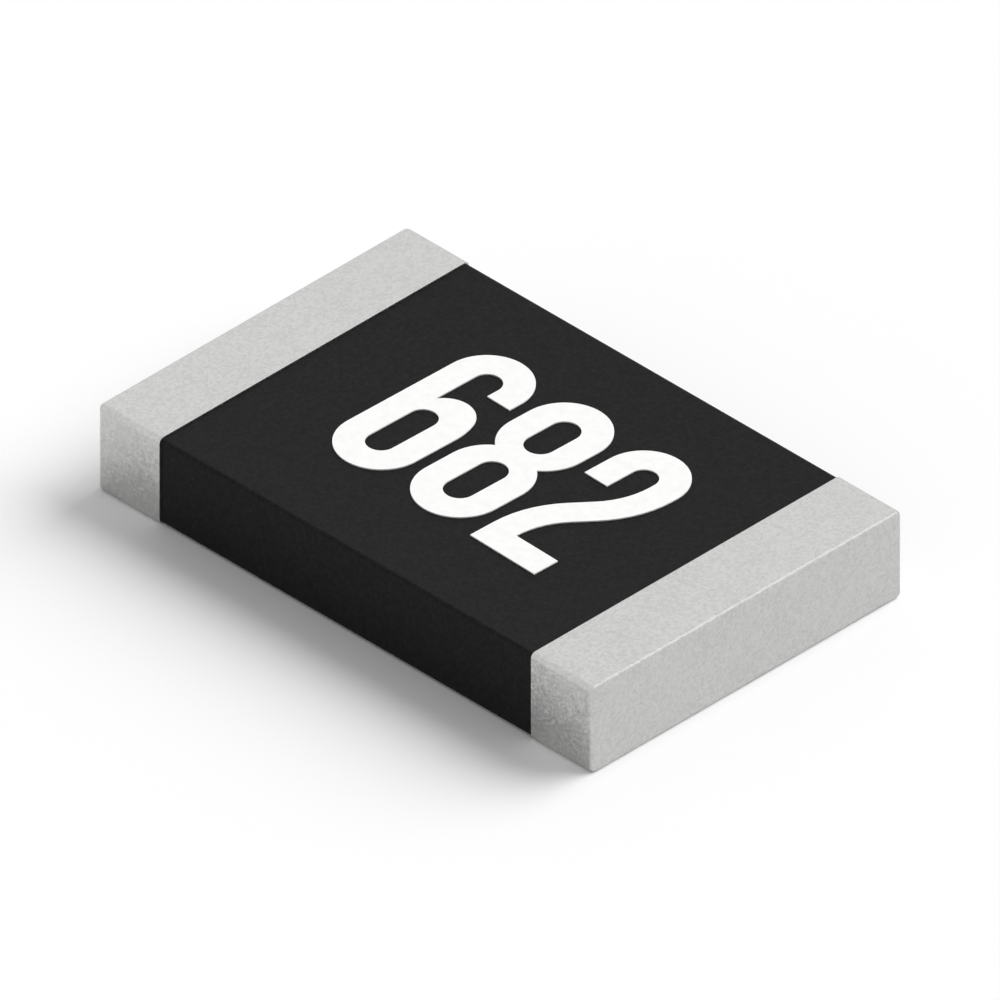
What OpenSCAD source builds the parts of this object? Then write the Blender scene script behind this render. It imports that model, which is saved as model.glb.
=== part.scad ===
// Thick-film chip resistor: a ceramic plate with a printed resistive film, a black coat
// round its middle and plated five-sided terminals on its ends.
// X runs along the chip and Z is up. The origin is the middle of the underside. Millimetres.

/* [Chip] */
// Length over both terminals
chip_length = 2.00; // [1.50:0.05:3.20]
// Width over the terminals
chip_width = 1.25; // [1.00:0.05:1.60]
// Height over the terminals
chip_height = 0.30; // [0.20:0.01:0.60]

/* [Terminals] */
// Length of a terminal along the chip
terminal_length = 0.25; // [0.15:0.01:0.45]
// Matte tin, the outer layer
tin_thickness = 0.008; // [0.005:0.001:0.020]
// Nickel barrier under the tin
nickel_thickness = 0.005; // [0.003:0.001:0.015]
// Dipped silver end electrode under the nickel
silver_thickness = 0.020; // [0.016:0.001:0.030]
// Rounding of the dipped silver over the edges of the ceramic
silver_edge_radius = 0.004; // [0.003:0.001:0.016]

/* [Ceramic] */
// Bevel that the scored snap lines leave round the underside
score_bevel = 0.020; // [0.005:0.005:0.050]

/* [Electrodes] */
// Thickness of a printed electrode
electrode_thickness = 0.010; // [0.006:0.001:0.015]
// Bare ceramic between an electrode and the long edge
electrode_margin = 0.050; // [0.030:0.005:0.120]
// How far a face electrode runs under the coat, past its terminal
face_electrode_reach = 0.160; // [0.120:0.005:0.200]
// How far a back electrode runs under the coat, past its terminal
back_electrode_reach = 0.030; // [0.010:0.005:0.100]

/* [Resistive film] */
// Thickness of the printed film
film_thickness = 0.010; // [0.006:0.001:0.014]
// Bare ceramic between the film and the long edge
film_margin = 0.150; // [0.100:0.005:0.200]
// Overlap of the film on a face electrode
film_lap = 0.080; // [0.040:0.005:0.100]

/* [Trim cut] */
// Width of the laser cut that sets the resistance
trim_width = 0.040; // [0.020:0.005:0.060]
// How far the cut goes into the film from its edge
trim_depth = 0.420; // [0.200:0.010:0.520]
// How far the cut then runs along the film
trim_run = 0.300; // [0.100:0.010:0.380]
// Distance of the cut's entry from the middle of the chip
trim_offset = 0.150; // [0.000:0.010:0.200]

/* [Coats] */
// Glass over the film where it laps an electrode
glass_cover = 0.008; // [0.005:0.001:0.012]
// How far the glass reaches past the film
glass_border = 0.030; // [0.020:0.005:0.060]
// How far the black coat lies below the faces of the terminals
coat_recess = 0.005; // [0.001:0.001:0.008]

/* [Hidden] */
$fn = 48;
LEFT = -1;
RIGHT = 1;

// Layers of a terminal, measured inwards from its faces
silver_inset = tin_thickness + nickel_thickness;
terminal_wall = silver_inset + silver_thickness;

// Edge radii: each plated layer follows the one below it
nickel_edge_radius = silver_edge_radius + nickel_thickness;
tin_edge_radius = nickel_edge_radius + tin_thickness;
coat_edge_radius = tin_edge_radius - coat_recess;

// Ceramic plate
ceramic_length = chip_length - 2 * terminal_wall;
ceramic_width = chip_width - 2 * terminal_wall;
ceramic_bottom = terminal_wall + electrode_thickness;
ceramic_height = chip_height - 2 * ceramic_bottom;
ceramic_top = ceramic_bottom + ceramic_height;

// Places along the chip, from its middle
coat_end = chip_length / 2 - terminal_length;
face_electrode_edge = coat_end - face_electrode_reach;
back_electrode_edge = coat_end - back_electrode_reach;
film_end = face_electrode_edge + film_lap;
glass_end = film_end + glass_border;

// Sizes across the chip, and heights above the ceramic
electrode_width = ceramic_width - 2 * electrode_margin;
film_width = ceramic_width - 2 * film_margin;
glass_width = film_width + 2 * glass_border;
film_height = electrode_thickness + film_thickness;
glass_height = film_height + glass_cover;

module rounded_rectangle(a, b, radius) {
    square([a - 2 * radius, b], center = true);
    square([a, b - 2 * radius], center = true);
    for (i = [-1, 1], j = [-1, 1])
        translate([i * (a / 2 - radius), j * (b / 2 - radius)])
            circle(radius);
}

// A profile drawn as (Y, Z), run along X
module along_x(length) {
    rotate([90, 0, 90])
        linear_extrude(length, center = true)
            children();
}

// A profile drawn as (X, Z), run along Y
module along_y(width) {
    rotate([90, 0, 0])
        linear_extrude(width, center = true)
            children();
}

// The whole chip's block, taken in from its faces, with every edge rounded
module chip_block(inset, radius) {
    length = chip_length - 2 * inset;
    width = chip_width - 2 * inset;
    height = chip_height - 2 * inset;
    translate([0, 0, chip_height / 2])
        intersection() {
            along_x(length) rounded_rectangle(width, height, radius);
            along_y(width) rounded_rectangle(length, height, radius);
            linear_extrude(height, center = true) rounded_rectangle(length, width, radius);
        }
}

// One layer of a terminal: the block at that depth, less what it covers, past the coat's end
module terminal_layer(side, inset, radius) {
    intersection() {
        translate([side * (coat_end + chip_length / 2), 0, chip_height / 2])
            cube([chip_length, 2 * chip_width, 2 * chip_height], center = true);
        difference() {
            chip_block(inset, radius);
            children();
        }
    }
}

// A printed patch from the edge that faces the chip's middle out to the end of the ceramic
module electrode(side, edge, bottom) {
    length = ceramic_length / 2 - edge;
    translate([side * (edge + length / 2), 0, bottom])
        linear_extrude(electrode_thickness)
            square([length, electrode_width], center = true);
}

// A V-shaped score line along X: snapping the plate leaves half of it on the chip's edge
module score_line(length) {
    side = score_bevel * sqrt(2);
    rotate([45, 0, 0])
        cube([length, side, side], center = true);
}

// The film before trimming: flat on the ceramic, stepping up onto a face electrode at each end
module printed_film() {
    step = face_electrode_edge - film_thickness;
    right_half = [
        [face_electrode_edge, 0], [face_electrode_edge, electrode_thickness],
        [film_end, electrode_thickness], [film_end, film_height],
        [step, film_height], [step, film_thickness]
    ];
    left_half = [for (i = [len(right_half) - 1 : -1 : 0]) [-right_half[i].x, right_half[i].y]];
    translate([0, 0, ceramic_top])
        along_y(film_width)
            polygon(concat(right_half, left_half));
}

// The L-shaped laser cut: in from the film's front edge, then along the film, with round ends
module trim_cut() {
    entry = -glass_width / 2 - trim_width;
    corner = trim_depth - film_width / 2;
    translate([-trim_offset, 0, ceramic_top])
        linear_extrude(glass_height) {
            translate([-trim_width / 2, entry])
                square([trim_width, corner - entry]);
            translate([0, corner - trim_width / 2])
                square([trim_run, trim_width]);
            for (x = [0, trim_run])
                translate([x, corner])
                    circle(d = trim_width);
        }
}

module ceramic_substrate() {
    color("#efece2")
        difference() {
            translate([0, 0, ceramic_bottom])
                linear_extrude(ceramic_height)
                    square([ceramic_length, ceramic_width], center = true);
            for (edge = [-1, 1]) {
                translate([0, edge * ceramic_width / 2, ceramic_bottom])
                    score_line(chip_length);
                translate([edge * ceramic_length / 2, 0, ceramic_bottom])
                    rotate([0, 0, 90])
                        score_line(chip_width);
            }
        }
}

module face_electrode(side) {
    color("#cfcabd")
        electrode(side, face_electrode_edge, ceramic_top);
}

module back_electrode(side) {
    color("#cfcabd")
        electrode(side, back_electrode_edge, terminal_wall);
}

module resistive_film() {
    color("#3a3d40")
        difference() {
            printed_film();
            trim_cut();
        }
}

// Fired glass levels out over the film, so its top is flat
module glass_undercoat() {
    color("#3f5f52")
        difference() {
            translate([-glass_end, -glass_width / 2, ceramic_top])
                cube([2 * glass_end, glass_width, glass_height]);
            printed_film();
            face_electrode(LEFT);
            face_electrode(RIGHT);
            trim_cut();
        }
}

// The coat fills everything between its own faces and what it covers, the trim cut too
module black_coat() {
    color("#2d2d2d")
        difference() {
            translate([0, 0, chip_height / 2])
                along_x(2 * coat_end)
                    rounded_rectangle(
                        chip_width - 2 * coat_recess, chip_height - 2 * coat_recess, coat_edge_radius
                    );
            ceramic_substrate();
            resistive_film();
            glass_undercoat();
            for (side = [LEFT, RIGHT]) {
                face_electrode(side);
                back_electrode(side);
            }
        }
}

module end_electrode(side) {
    color("#d9d6ce")
        terminal_layer(side, silver_inset, silver_edge_radius) {
            ceramic_substrate();
            face_electrode(side);
            back_electrode(side);
        }
}

module nickel_barrier(side) {
    color("#a8a294")
        terminal_layer(side, tin_thickness, nickel_edge_radius)
            chip_block(silver_inset, silver_edge_radius);
}

module tin_cap(side) {
    color("#cdcdcd")
        terminal_layer(side, 0, tin_edge_radius)
            chip_block(tin_thickness, nickel_edge_radius);
}

ceramic_substrate();
resistive_film();
glass_undercoat();
black_coat();
face_electrode(LEFT);  // face_electrode_left
face_electrode(RIGHT);  // face_electrode_right
back_electrode(LEFT);  // back_electrode_left
back_electrode(RIGHT);  // back_electrode_right
end_electrode(LEFT);  // end_electrode_left
end_electrode(RIGHT);  // end_electrode_right
nickel_barrier(LEFT);  // nickel_barrier_left
nickel_barrier(RIGHT);  // nickel_barrier_right
tin_cap(LEFT);  // tin_cap_left
tin_cap(RIGHT);  // tin_cap_right
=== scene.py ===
# %% [markdown]
# # A chip resistor, from its terminals to its value code
#
# The part is a surface-mount resistor, two millimetres long. Its skin is what the eye meets: a black
# coat round the middle, a tin-plated cap on each end and a white value code. Under the skin lie a
# ceramic plate, a film, glass, silver and nickel, which the frame already holds at their real size.
#
# The frame is loaded first and never moved. The pieces below take their sizes from it, so that the skin
# fits the solids without any trying.

# %% Load the frame
import math

import bmesh
import bpy
from mathutils import Matrix, Vector


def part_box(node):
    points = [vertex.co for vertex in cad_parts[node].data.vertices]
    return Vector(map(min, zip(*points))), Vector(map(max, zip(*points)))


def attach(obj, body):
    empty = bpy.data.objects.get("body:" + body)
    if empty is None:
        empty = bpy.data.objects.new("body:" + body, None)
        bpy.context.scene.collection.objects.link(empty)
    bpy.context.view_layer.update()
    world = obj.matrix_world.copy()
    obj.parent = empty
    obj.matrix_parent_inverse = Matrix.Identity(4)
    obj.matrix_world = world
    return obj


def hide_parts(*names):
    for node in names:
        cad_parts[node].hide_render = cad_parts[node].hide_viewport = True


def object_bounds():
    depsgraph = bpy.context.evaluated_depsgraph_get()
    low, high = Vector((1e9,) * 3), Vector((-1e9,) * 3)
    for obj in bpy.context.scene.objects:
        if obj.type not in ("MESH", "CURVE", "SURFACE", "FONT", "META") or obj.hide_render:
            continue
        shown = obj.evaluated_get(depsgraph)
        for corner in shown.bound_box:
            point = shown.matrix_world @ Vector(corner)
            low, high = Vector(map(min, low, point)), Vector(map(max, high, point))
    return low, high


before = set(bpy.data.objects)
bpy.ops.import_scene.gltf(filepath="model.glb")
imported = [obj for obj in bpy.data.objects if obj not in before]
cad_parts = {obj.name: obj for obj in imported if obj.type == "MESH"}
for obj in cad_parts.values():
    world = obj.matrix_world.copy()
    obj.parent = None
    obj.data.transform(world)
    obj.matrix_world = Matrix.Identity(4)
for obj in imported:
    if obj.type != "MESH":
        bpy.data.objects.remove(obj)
cad_low, cad_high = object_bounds()
chip = cad_high - cad_low
MM = 0.001
print("chip in mm:", [round(side / MM, 3) for side in chip])

# %% [markdown]
# ## The camera
#
# The view is isometric: no lens, and all three edges of the chip foreshortened alike. An orthographic
# camera that stands 45 degrees round, at the height whose tangent is 1/sqrt(2), gives just that. Seen
# this way a box is as wide as (length + width) times cos 45. The round upright edges take a little off
# at both sides, and the width that is left fills four fifths of the frame.

# %% Camera
AZIMUTH = math.radians(45)
ELEVATION = math.atan(1 / math.sqrt(2))
FRAME_SHARE = 0.8
EDGE_RADIUS = 0.017
CAMERA_DISTANCE = 20 * MM
NEAREST_SEEN = 0.1 * MM
FARTHEST_SEEN = 200 * MM

scene = bpy.context.scene
towards_camera = Vector((
    math.sin(AZIMUTH) * math.cos(ELEVATION),
    -math.cos(AZIMUTH) * math.cos(ELEVATION),
    math.sin(ELEVATION),
))
off_each_side = EDGE_RADIUS * MM * (math.sqrt(2) - 1)
seen_width = (chip.x + chip.y) * math.cos(AZIMUTH) - 2 * off_each_side
camera_data = bpy.data.cameras.new("camera")
camera_data.type = "ORTHO"
camera_data.ortho_scale = seen_width / FRAME_SHARE
camera_data.clip_start = NEAREST_SEEN
camera_data.clip_end = FARTHEST_SEEN
camera = bpy.data.objects.new("camera", camera_data)
camera.location = (cad_low + cad_high) / 2 + towards_camera * CAMERA_DISTANCE
camera.rotation_euler = towards_camera.to_track_quat("Z", "Y").to_euler()
scene.collection.objects.link(camera)
scene.camera = camera
scene.view_settings.view_transform = "Standard"
print("frame is", round(camera_data.ortho_scale / MM, 3), "mm wide")

# %% [markdown]
# ## Colours and shader nodes
#
# Colours are written as sRGB hex values, as a paint chart gives them, and one function turns them into
# the linear values that a shader works with. Another function adds a node: settings by name, and each
# socket gets either a value or a link from another node.

# %% Colour and node helpers


def linear(hex_colour):
    channels = [int(hex_colour[i:i + 2], 16) / 255 for i in (1, 3, 5)]
    return tuple(c / 12.92 if c <= 0.04045 else ((c + 0.055) / 1.055) ** 2.4 for c in channels) + (1.0,)


def new_material(name):
    material = bpy.data.materials.new(name)
    material.use_nodes = True
    material.node_tree.nodes.clear()
    return material, material.node_tree


def add_node(tree, kind, sockets, **settings):
    node = tree.nodes.new(kind)
    for name, value in settings.items():
        setattr(node, name, value)
    for name, value in sockets.items():
        if isinstance(value, bpy.types.NodeSocket):
            tree.links.new(value, node.inputs[name])
        else:
            node.inputs[name].default_value = value
    return node


print("pale grey #cdcdcd is", [round(c, 3) for c in linear("#cdcdcd")])

# %% [markdown]
# ## Light and floor
#
# Metal shows what is around it, so the chip stands in a white studio. What the camera or a mirrored ray
# sees of the sky is plain white, while the light that the sky gives off is kept lower, to leave room
# for lamps. Sun lamps and a plain sky work at any scale, which matters on a part as small as this.
#
# To someone who reads the value code, the key lamp stands behind the chip, above it and a little to the
# right. It lights the floor on the right, which the right end mirrors, and leaves the floor in front in
# the chip's own soft shade, which the front side mirrors. It is not mirrored itself. Two weaker lamps
# are: a panel makes the top a little paler than the end, and a glint draws a bright line along the edge
# between them. That gives the terminals their three tones.

# %% Sky
SKY_LEVEL = 0.43
WHITE = 1.0

world = bpy.data.worlds.new("white studio")
scene.world = world
world.use_nodes = True
tree = world.node_tree
tree.nodes.clear()
ray = add_node(tree, "ShaderNodeLightPath", {})
seen_or_mirrored = add_node(tree, "ShaderNodeMath", {
    0: ray.outputs["Is Camera Ray"], 1: ray.outputs["Is Glossy Ray"],
}, operation="MAXIMUM")
shown = add_node(tree, "ShaderNodeMath", {
    0: seen_or_mirrored.outputs[0], 1: ray.outputs["Is Transmission Ray"],
}, operation="MAXIMUM")
level = add_node(tree, "ShaderNodeMapRange", {
    "Value": shown.outputs[0], "To Min": SKY_LEVEL, "To Max": WHITE,
})
sky = add_node(tree, "ShaderNodeBackground", {
    "Color": linear("#ffffff"), "Strength": level.outputs["Result"],
})
add_node(tree, "ShaderNodeOutputWorld", {"Surface": sky.outputs[0]})
print("sky lights at", SKY_LEVEL, "and shows at", WHITE)

# %% Lamps
lamps = {
    # name: (direction that the light comes from, strength, angle in degrees, whether metal mirrors it)
    "key lamp behind": ((0.32, 0.70, 0.70), 2.35, 50, False),
    "glint that the edge mirrors": ((0.20, 0.58, 0.79), 0.20, 30, True),
    "panel that the top mirrors": ((-1.0, 1.0, 1.0), 0.10, 50, True),
}
for name, (comes_from, strength, degrees, mirrored) in lamps.items():
    lamp_data = bpy.data.lights.new(name, "SUN")
    lamp_data.energy = strength
    lamp_data.angle = math.radians(degrees)
    lamp = bpy.data.objects.new(name, lamp_data)
    lamp.rotation_euler = Vector(comes_from).to_track_quat("Z", "Y").to_euler()
    lamp.visible_glossy = mirrored
    scene.collection.objects.link(lamp)
print(len(lamps), "lamps")

# %% Floor
FLOOR_SIDE = 160 * MM

white_board, tree = new_material("white matt board")
board = add_node(tree, "ShaderNodeBsdfDiffuse", {"Color": linear("#ffffff")})
add_node(tree, "ShaderNodeOutputMaterial", {"Surface": board.outputs[0]})
bm = bmesh.new()
bmesh.ops.create_grid(bm, x_segments=1, y_segments=1, size=FLOOR_SIDE / 2)
floor_mesh = bpy.data.meshes.new("floor")
bm.to_mesh(floor_mesh)
bm.free()
floor_mesh.materials.append(white_board)
floor = bpy.data.objects.new("floor", floor_mesh)
scene.collection.objects.link(floor)
print("floor", FLOOR_SIDE / MM, "mm square")

# %% [markdown]
# ## From millimetres to the frame
#
# The skin is only thousandths of a millimetre thick, and mesh operators have fixed limits below which
# two points count as one. So every piece is modelled in millimetres, and its mesh is brought to metres
# as the last step. The object itself stays at the origin, unscaled. Edges sharper than a step of a
# rounded edge are marked sharp, and a weighted-normal modifier keeps flat faces flat beside their round
# edges.

# %% Helpers for pieces
SHARP_ANGLE = math.radians(40)


def node_box(node):
    low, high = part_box(node)
    return low / MM, high / MM


def box_bmesh(low, high):
    bm = bmesh.new()
    bmesh.ops.create_cube(bm, size=1.0)
    bmesh.ops.scale(bm, vec=high - low, verts=bm.verts)
    bmesh.ops.translate(bm, vec=(low + high) / 2, verts=bm.verts)
    bm.normal_update()
    return bm


def pour(source, target):
    """Adds one bmesh to another through a mesh that is thrown away."""
    between = bpy.data.meshes.new("between")
    source.to_mesh(between)
    source.free()
    target.from_mesh(between)
    bpy.data.meshes.remove(between)


def add_piece(bm, name, material, slot, *replaced):
    bmesh.ops.scale(bm, vec=(MM, MM, MM), verts=bm.verts)
    mesh = bpy.data.meshes.new(name)
    bm.to_mesh(mesh)
    bm.free()
    mesh.shade_smooth()
    mesh.set_sharp_from_angle(angle=SHARP_ANGLE)
    mesh.materials.append(material)
    piece = bpy.data.objects.new(name, mesh)
    scene.collection.objects.link(piece)
    weighted = piece.modifiers.new("flat faces stay flat", "WEIGHTED_NORMAL")
    weighted.keep_sharp = True
    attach(piece, "root")
    if replaced:
        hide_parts(*replaced)
    print(name, len(mesh.polygons), "faces, mm", [round(side / MM, 4) for side in piece.dimensions])


print("edges over", round(math.degrees(SHARP_ANGLE)), "degrees stay sharp")

# %% [markdown]
# ## Matte tin plating
#
# The terminals are finished in matte tin, grown in a plating bath. It is a pale grey metal without a
# mirror shine: its crystals are a few micrometres across, and as each lies its own way, they scatter
# the light. They are too fine to see one by one, so a Voronoi pattern draws them about twice as coarse.
# Each cell is a shade paler or darker than the next, smoother or rougher, and its facet leans its own
# way. A slow noise adds the clouds that the uneven flow of the bath leaves.

# %% Tin material
TIN_CRYSTAL = 0.008 * MM
FACET_LEAN = 0.14
TIN_CLOUD = 0.15 * MM
CLOUD_SHARE = 0.4

matte_tin, tree = new_material("matte tin plating")
place = add_node(tree, "ShaderNodeTexCoord", {}).outputs["Object"]
cloud = add_node(tree, "ShaderNodeTexNoise", {"Vector": place, "Scale": 1 / TIN_CLOUD, "Detail": 3.0})
crystal = add_node(tree, "ShaderNodeTexVoronoi", {"Vector": place, "Scale": 1 / TIN_CRYSTAL})
shade = add_node(tree, "ShaderNodeMath", {
    0: cloud.outputs["Fac"], 1: CLOUD_SHARE, 2: crystal.outputs["Color"],
}, operation="MULTIPLY_ADD")
tone = add_node(tree, "ShaderNodeValToRGB", {"Fac": shade.outputs[0]})
darker, paler = tone.color_ramp.elements
darker.position = 0.3
darker.color = linear("#b9b9b8")
paler.position = 1.0
paler.color = linear("#c7c7c6")
scatter = add_node(tree, "ShaderNodeMapRange", {
    "Value": crystal.outputs["Color"], "To Min": 0.32, "To Max": 0.42,
})
lean = add_node(tree, "ShaderNodeVectorMath", {
    0: crystal.outputs["Color"], 1: [FACET_LEAN] * 3, 2: [-FACET_LEAN / 2] * 3,
}, operation="MULTIPLY_ADD")
upright = add_node(tree, "ShaderNodeNewGeometry", {}).outputs["Normal"]
leaning = add_node(tree, "ShaderNodeVectorMath", {0: upright, 1: lean.outputs[0]}, operation="ADD")
facet = add_node(tree, "ShaderNodeVectorMath", {0: leaning.outputs[0]}, operation="NORMALIZE")
tin = add_node(tree, "ShaderNodeBsdfPrincipled", {
    "Base Color": tone.outputs["Color"],
    "Metallic": 1.0,
    "Roughness": scatter.outputs["Result"],
    "Normal": facet.outputs[0],
})
add_node(tree, "ShaderNodeOutputMaterial", {"Surface": tin.outputs[0]})
print("tin crystals drawn at", TIN_CRYSTAL / MM, "mm")

# %% [markdown]
# ## The two terminals
#
# A terminal is a five-sided cap: plating covers the end of the chip and wraps round all four faces
# beside it. Each plated layer rounds its edges over the layer below. The whole chip is first made as
# one block with round edges, a plane then cuts off all but one end, and the open shell that is left
# gets its wall thickness inwards. The wall is as thick as the tin lies over the nickel.

# %% Terminals
EDGE_SEGMENTS = 8
SAME_PLACE = 1e-6

chip_low, chip_high = cad_low / MM, cad_high / MM
for side, outwards in (("left", -1), ("right", 1)):
    cap_low, cap_high = node_box(f"tin_cap_{side}")
    nickel_low, nickel_high = node_box(f"nickel_barrier_{side}")
    rim = cap_low.x if outwards > 0 else cap_high.x
    bm = box_bmesh(chip_low, chip_high)
    bmesh.ops.bevel(
        bm, geom=bm.edges[:], offset=EDGE_RADIUS, segments=EDGE_SEGMENTS,
        profile=0.5, affect="EDGES", material=-1,
    )
    bmesh.ops.bisect_plane(
        bm, geom=bm.verts[:] + bm.edges[:] + bm.faces[:], dist=SAME_PLACE,
        plane_co=(rim, 0, 0), plane_no=(outwards, 0, 0), clear_inner=True,
    )
    bmesh.ops.recalc_face_normals(bm, faces=bm.faces)
    bmesh.ops.solidify(bm, geom=bm.faces[:], thickness=cap_high.z - nickel_high.z)
    add_piece(bm, f"tin_terminal_{side}", matte_tin, "matte_tin", f"tin_cap_{side}")

# %% [markdown]
# ## Black epoxy
#
# The body is sealed with a black epoxy paste that is printed on and baked. It comes out dark grey
# rather than deep black, and satin, with a shallow orange-peel ripple. Fine mineral filler in the paste
# leaves a slight tooth and a few paler grains.

# %% Epoxy material
RIPPLE = 0.060 * MM
RIPPLE_RELIEF = 0.0008 * MM
FILLER_GRAIN = 0.012 * MM

black_epoxy, tree = new_material("black epoxy coat")
place = add_node(tree, "ShaderNodeTexCoord", {}).outputs["Object"]
grain = add_node(tree, "ShaderNodeTexNoise", {"Vector": place, "Scale": 1 / FILLER_GRAIN, "Detail": 2.0})
tone = add_node(tree, "ShaderNodeValToRGB", {"Fac": grain.outputs["Fac"]})
darker, paler = tone.color_ramp.elements
darker.position = 0.35
darker.color = linear("#0f0f0f")
paler.position = 0.85
paler.color = linear("#222222")
ripple = add_node(tree, "ShaderNodeTexNoise", {"Vector": place, "Scale": 1 / RIPPLE, "Detail": 3.0})
peel = add_node(tree, "ShaderNodeBump", {
    "Height": ripple.outputs["Fac"], "Distance": RIPPLE_RELIEF,
})
satin = add_node(tree, "ShaderNodeMapRange", {
    "Value": grain.outputs["Fac"], "To Min": 0.52, "To Max": 0.68,
})
epoxy = add_node(tree, "ShaderNodeBsdfPrincipled", {
    "Base Color": tone.outputs["Color"],
    "Roughness": satin.outputs["Result"],
    "Specular IOR Level": 0.10,
    "Normal": peel.outputs["Normal"],
})
add_node(tree, "ShaderNodeOutputMaterial", {"Surface": epoxy.outputs[0]})
print("ripple", RIPPLE / MM, "mm, filler", FILLER_GRAIN / MM, "mm")

# %% [markdown]
# ## The coat
#
# The coat is a sleeve: black on top, underneath and on both long sides, with the ceramic running
# through it from end to end. It lies a few micrometres below the terminals. The outside is a box whose
# four long edges are rounded, and the inside is a plain box round what the coat covers. With the end
# faces taken off both, their open edges are bridged to make the sleeve's two end walls.

# %% Sleeve
FACES_THE_END = 0.9

coat_low, coat_high = node_box("black_coat")
coat_edge_radius = EDGE_RADIUS - (chip_high.z - coat_high.z)


def take_off_ends(bm):
    ends = [face for face in bm.faces if abs(face.normal.x) > FACES_THE_END]
    bmesh.ops.delete(bm, geom=ends, context="FACES_ONLY")


sleeve = box_bmesh(coat_low, coat_high)
take_off_ends(sleeve)
long_edges = [edge for edge in sleeve.edges if not edge.is_boundary]
bmesh.ops.bevel(
    sleeve, geom=long_edges, offset=coat_edge_radius, segments=EDGE_SEGMENTS,
    profile=0.5, affect="EDGES", material=-1,
)
print("long edges of the coat rounded by", round(coat_edge_radius, 4), "mm")

# %% Inside of the sleeve
covered = [node_box(node) for node in ("ceramic_substrate", "glass_undercoat", "back_electrode_left")]
hole_low = Vector((
    coat_low.x, min(low.y for low, high in covered), min(low.z for low, high in covered),
))
hole_high = Vector((
    coat_high.x, max(high.y for low, high in covered), max(high.z for low, high in covered),
))
inside = box_bmesh(hole_low, hole_high)
take_off_ends(inside)
bmesh.ops.reverse_faces(inside, faces=inside.faces)
pour(inside, sleeve)
for end in (coat_low.x, coat_high.x):
    rims = [
        edge for edge in sleeve.edges
        if edge.is_boundary and all(abs(vert.co.x - end) < SAME_PLACE for vert in edge.verts)
    ]
    bmesh.ops.bridge_loops(sleeve, edges=rims)
add_piece(sleeve, "black_coat_sleeve", black_epoxy, "black_epoxy", "black_coat")

# %% [markdown]
# ## White marking ink
#
# The value code is printed in white ink, only micrometres thick and matt. It covers well, but the ink
# pulls together a little as it dries: thinner patches are faintly greyer and lie lower, and thicker
# ones dry duller.

# %% Ink material
INK_PATCH = 0.030 * MM
INK_RELIEF = 0.0005 * MM

white_ink, tree = new_material("white marking ink")
place = add_node(tree, "ShaderNodeTexCoord", {}).outputs["Object"]
patch = add_node(tree, "ShaderNodeTexNoise", {"Vector": place, "Scale": 1 / INK_PATCH, "Detail": 3.0})
tone = add_node(tree, "ShaderNodeValToRGB", {"Fac": patch.outputs["Fac"]})
thin, thick = tone.color_ramp.elements
thin.position = 0.3
thin.color = linear("#f8f8f7")
thick.position = 0.6
thick.color = linear("#fefefd")
dullness = add_node(tree, "ShaderNodeMapRange", {
    "Value": patch.outputs["Fac"], "To Min": 0.52, "To Max": 0.68,
})
thickness = add_node(tree, "ShaderNodeBump", {
    "Height": patch.outputs["Fac"], "Distance": INK_RELIEF,
})
ink = add_node(tree, "ShaderNodeBsdfPrincipled", {
    "Base Color": tone.outputs["Color"],
    "Roughness": dullness.outputs["Result"],
    "Specular IOR Level": 0.3,
    "Normal": thickness.outputs["Normal"],
})
add_node(tree, "ShaderNodeOutputMaterial", {"Surface": ink.outputs[0]})
print("ink patches", INK_PATCH / MM, "mm")

# %% [markdown]
# ## The value code
#
# Three digits give the resistance: two figures, then the number of noughts. They are plain condensed
# numerals with an even stroke. A font would bring a style of its own, so a pen walks round the outline
# of each digit instead, as on a stencil: straight runs, bends and corners, all from a few sizes. Holes
# are walked the same way, and filling between the outlines gives the flat layer of ink.

# %% The pen
DEGREES_PER_STEP = 6
# Where the walk ends this close to its start, the two points become one and the outline is closed
CLOSING_GAP = 0.002
UP, DOWN, RIGHTWARDS = 90, -90, 0


def draw_outline(start, heading, moves):
    """Walks the pen round a closed outline. A number in moves is a straight run, and (radius, degrees) is
    a bend to the left, or to the right where the degrees are negative. With no radius it is a corner."""
    bm = bmesh.new()
    pen = bm.verts.new((*start, 0))
    forward = Matrix.Rotation(math.radians(heading), 3, "Z") @ Vector((1, 0, 0))
    for move in moves:
        if isinstance(move, tuple):
            radius, degrees = move
            angle = math.radians(degrees)
            if radius:
                left = Vector((-forward.y, forward.x, 0))
                bend = bmesh.ops.spin(
                    bm, geom=[pen], cent=pen.co + left * math.copysign(radius, degrees), axis=(0, 0, 1),
                    angle=angle, steps=math.ceil(abs(degrees) / DEGREES_PER_STEP),
                )
                pen = bend["geom_last"][0]
            forward = Matrix.Rotation(angle, 3, "Z") @ forward
        else:
            run = bmesh.ops.extrude_vert_indiv(bm, verts=[pen])
            bmesh.ops.translate(bm, vec=forward * move, verts=run["verts"])
            pen = run["verts"][0]
    bmesh.ops.remove_doubles(bm, verts=bm.verts, dist=CLOSING_GAP)
    return bm


print("bends are drawn in steps of", DEGREES_PER_STEP, "degrees")

# %% The six
STROKE = 0.093
DIGIT_HEIGHT = 0.695
SIX_WIDTH = 0.280
# Heights above the foot: the hook's cut end, the notch between stem and bowl, the place where the bowl
# starts to bend, and the top of the hole
SIX_HOOK = 0.512
SIX_NOTCH = 0.396
SIX_SHOULDER = 0.301
SIX_HOLE = 0.349
# The bowl bends gently first and then tightly, down to the notch
SIX_BOWL = ((0.222, 22.7), (0.094, 128.3))


def draw_hole(width, low, high):
    radius = width / 2 - STROKE
    run = high - low - 2 * radius
    return draw_outline((STROKE, high - radius), DOWN, [run, (radius, 180), run, (radius, 180)])


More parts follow.
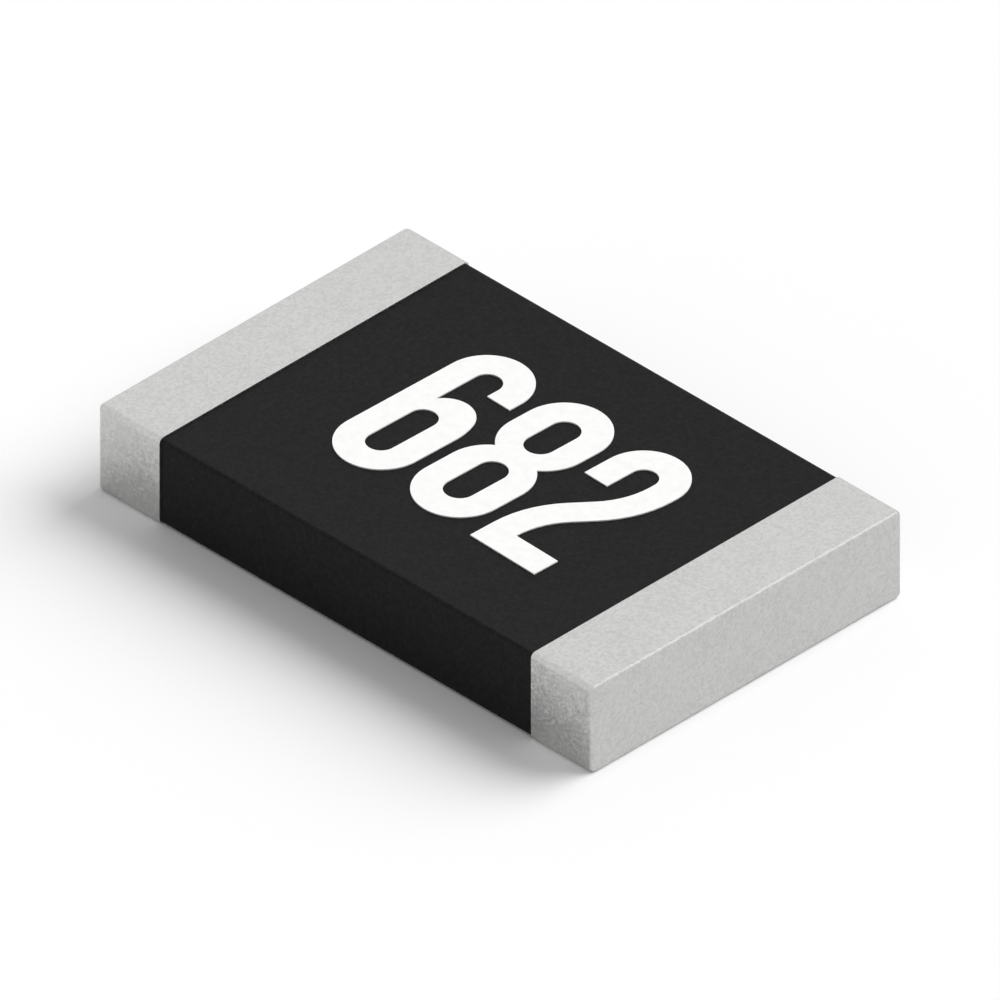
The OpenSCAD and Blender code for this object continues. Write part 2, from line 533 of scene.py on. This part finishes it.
outer = SIX_WIDTH / 2
inner = outer - STROKE
top_bend = DIGIT_HEIGHT - outer
hook = top_bend - SIX_HOOK
six = [
    draw_outline((STROKE, SIX_NOTCH), UP, [
        top_bend - SIX_NOTCH, (inner, -180), hook, (0, 90), STROKE, (0, 90), hook, (outer, 180),
        top_bend - outer, (outer, 180), SIX_SHOULDER - outer, *SIX_BOWL,
    ]),
    draw_hole(SIX_WIDTH, STROKE, SIX_HOLE),
]
print("six:", [len(outline.verts) for outline in six], "points")

# %% The eight
EIGHT_WIDTH = 0.285
EIGHT_WAIST = 0.363
# Each loop bends in towards the waist by fewer degrees than a right angle, which leaves a nick on
# either side
EIGHT_NICK = 52.5

outer = EIGHT_WIDTH / 2
nick = (outer, EIGHT_NICK)
nick_across = outer * math.cos(math.radians(EIGHT_NICK))
nick_up = outer * math.sin(math.radians(EIGHT_NICK))
upper_run = DIGIT_HEIGHT - outer - nick_up - EIGHT_WAIST
lower_run = EIGHT_WAIST - nick_up - outer
eight = [
    draw_outline((outer + nick_across, EIGHT_WAIST), UP - EIGHT_NICK, [
        nick, upper_run, (outer, 180), upper_run, nick, (0, -2 * EIGHT_NICK),
        nick, lower_run, (outer, 180), lower_run, nick,
    ]),
    draw_hole(EIGHT_WIDTH, EIGHT_WAIST + STROKE / 2, DIGIT_HEIGHT - STROKE),
    draw_hole(EIGHT_WIDTH, STROKE, EIGHT_WAIST - STROKE / 2),
]
print("eight:", [len(outline.verts) for outline in eight], "points")

# %% The two
TWO_WIDTH = 0.276
# Height of the hook's cut end, and the straight run below the top bend
TWO_HOOK = 0.456
TWO_SHOULDER = 0.021
# Degrees by which the slant leans, the bar's length, and how far the bar lies above the other feet
TWO_LEAN = 39
TWO_BAR = 0.266
TWO_FOOT = 0.006

# The swing down to the bar is two bends of one radius with a slant between them. The radius and the
# slant's length follow from how far the swing goes across and down.
outer = TWO_WIDTH / 2
inner = outer - STROKE
hook = DIGIT_HEIGHT - outer - TWO_HOOK
sine = math.sin(math.radians(TWO_LEAN))
cosine = math.cos(math.radians(TWO_LEAN))
across = TWO_WIDTH - STROKE
down = DIGIT_HEIGHT - outer - TWO_SHOULDER - STROKE - TWO_FOOT
slant = (across * sine - down * (1 - cosine)) / (1 - cosine)
radius = (down - slant * cosine) / (2 * sine)
swing = [(radius - STROKE / 2, -TWO_LEAN), slant, (radius + STROKE / 2, TWO_LEAN)]
two = [
    draw_outline((0, TWO_FOOT), RIGHTWARDS, [
        TWO_BAR, (0, 90), STROKE, (0, 90), TWO_BAR - STROKE, (0, -90), *swing, TWO_SHOULDER, (outer, 180),
        hook, (0, 90), STROKE, (0, 90), hook, (inner, -180), TWO_SHOULDER, *swing, STROKE,
    ]),
]
print("two:", len(two[0].verts), "points, swing radius", round(radius, 3), "slant", round(slant, 3))

# %% [markdown]
# ## The print
#
# All outlines are filled at once, which leaves the holes open, and the flat layer gets the thickness of
# the ink. The print sits a little askew on the coat, as prints on such small chips do.

# %% Ink the digits
DIGIT_PITCH = 0.3245
PRINT_CENTRE = (0.033, 0.016)
PRINT_TURN = math.radians(-1.6)
INK_THICKNESS = 0.004

code = bmesh.new()
for column, width, outlines in ((-1, SIX_WIDTH, six), (0, EIGHT_WIDTH, eight), (1, TWO_WIDTH, two)):
    corner = (column * DIGIT_PITCH - width / 2, -DIGIT_HEIGHT / 2, 0)
    for outline in outlines:
        bmesh.ops.translate(outline, vec=corner, verts=outline.verts)
        pour(outline, code)
bmesh.ops.triangle_fill(code, edges=code.edges[:], use_beauty=True, normal=(0, 0, 1))
bmesh.ops.solidify(code, geom=code.faces[:], thickness=INK_THICKNESS)
bmesh.ops.rotate(code, cent=(0, 0, 0), matrix=Matrix.Rotation(PRINT_TURN, 3, "Z"), verts=code.verts)
lift = coat_high.z - min(vert.co.z for vert in code.verts)
bmesh.ops.translate(code, vec=(*PRINT_CENTRE, lift), verts=code.verts)
add_piece(code, "value_code", white_ink, "marking_ink")

# %% [markdown]
# ## Under the skin
#
# The sealed layers come from the frame as they are, and only get their finishes. All of them are fired,
# dipped or plated, so one recipe does: a noise of the layer's own grain size moves the colour between
# two close tones and the roughness between two levels, and raises the grains by a small share of their
# size.

# %% Recipe for the sealed layers
GRAIN_RELIEF = 0.03


def layer_material(name, tones, grain_mm, roughness, shader_values):
    material, tree = new_material(name)
    grain_size = grain_mm * MM
    place = add_node(tree, "ShaderNodeTexCoord", {}).outputs["Object"]
    grain = add_node(tree, "ShaderNodeTexNoise", {"Vector": place, "Scale": 1 / grain_size, "Detail": 2.0})
    tone = add_node(tree, "ShaderNodeValToRGB", {"Fac": grain.outputs["Fac"]})
    darker, paler = tone.color_ramp.elements
    darker.position = 0.3
    darker.color = linear(tones[0])
    paler.position = 0.7
    paler.color = linear(tones[1])
    dullness = add_node(tree, "ShaderNodeMapRange", {
        "Value": grain.outputs["Fac"], "To Min": roughness[0], "To Max": roughness[1],
    })
    relief = add_node(tree, "ShaderNodeBump", {
        "Height": grain.outputs["Fac"], "Distance": grain_size * GRAIN_RELIEF,
    })
    surface = add_node(tree, "ShaderNodeBsdfPrincipled", {
        "Base Color": tone.outputs["Color"],
        "Roughness": dullness.outputs["Result"],
        "Normal": relief.outputs["Normal"],
        **shader_values,
    })
    add_node(tree, "ShaderNodeOutputMaterial", {"Surface": surface.outputs[0]})
    print(name, "with grains of", grain_mm, "mm")
    return material


# %% Materials of the sealed layers
METAL = {"Metallic": 1.0}

# Pressed and fired oxide powder: warm white, matt, with a fine even grain
alumina = layer_material("fired alumina", ("#ebe8dd", "#f2f0e8"), 0.012, (0.68, 0.82), {})
# Metal oxide and glass, printed and fired: near black, slightly glossy
film = layer_material("fired resistive film", ("#34373a", "#414447"), 0.008, (0.34, 0.46), {})
# Printed glass, melted smooth: dark green and clear, so the film shows through
glass = layer_material(
    "fired undercoat glass", ("#3a5a4d", "#446557"), 0.050, (0.10, 0.16), {"Transmission Weight": 0.6},
)
# Silver paste, printed and fired: pale and dull, from its sintered flakes
printed_silver = layer_material("printed silver", ("#c9c4b7", "#d4cfc3"), 0.010, (0.52, 0.68), METAL)
# Silver paste, dipped and fired: whiter, with the same dull flakes
dipped_silver = layer_material("dipped silver", ("#d4d1c8", "#dddad3"), 0.014, (0.48, 0.62), METAL)
# Nickel from the plating bath: warm grey, with fine crystals
nickel = layer_material("nickel barrier plating", ("#a39d8f", "#aca698"), 0.008, (0.32, 0.44), METAL)

# %% Finish the sealed layers
finishes = {
    "ceramic_substrate": alumina,
    "resistive_film": film,
    "glass_undercoat": glass,
}
for side in ("left", "right"):
    finishes[f"face_electrode_{side}"] = printed_silver
    finishes[f"back_electrode_{side}"] = printed_silver
    finishes[f"end_electrode_{side}"] = dipped_silver
    finishes[f"nickel_barrier_{side}"] = nickel
for node, material in finishes.items():
    layer_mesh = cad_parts[node].data
    layer_mesh.materials.clear()
    layer_mesh.materials.append(material)
print(len(finishes), "sealed layers finished")
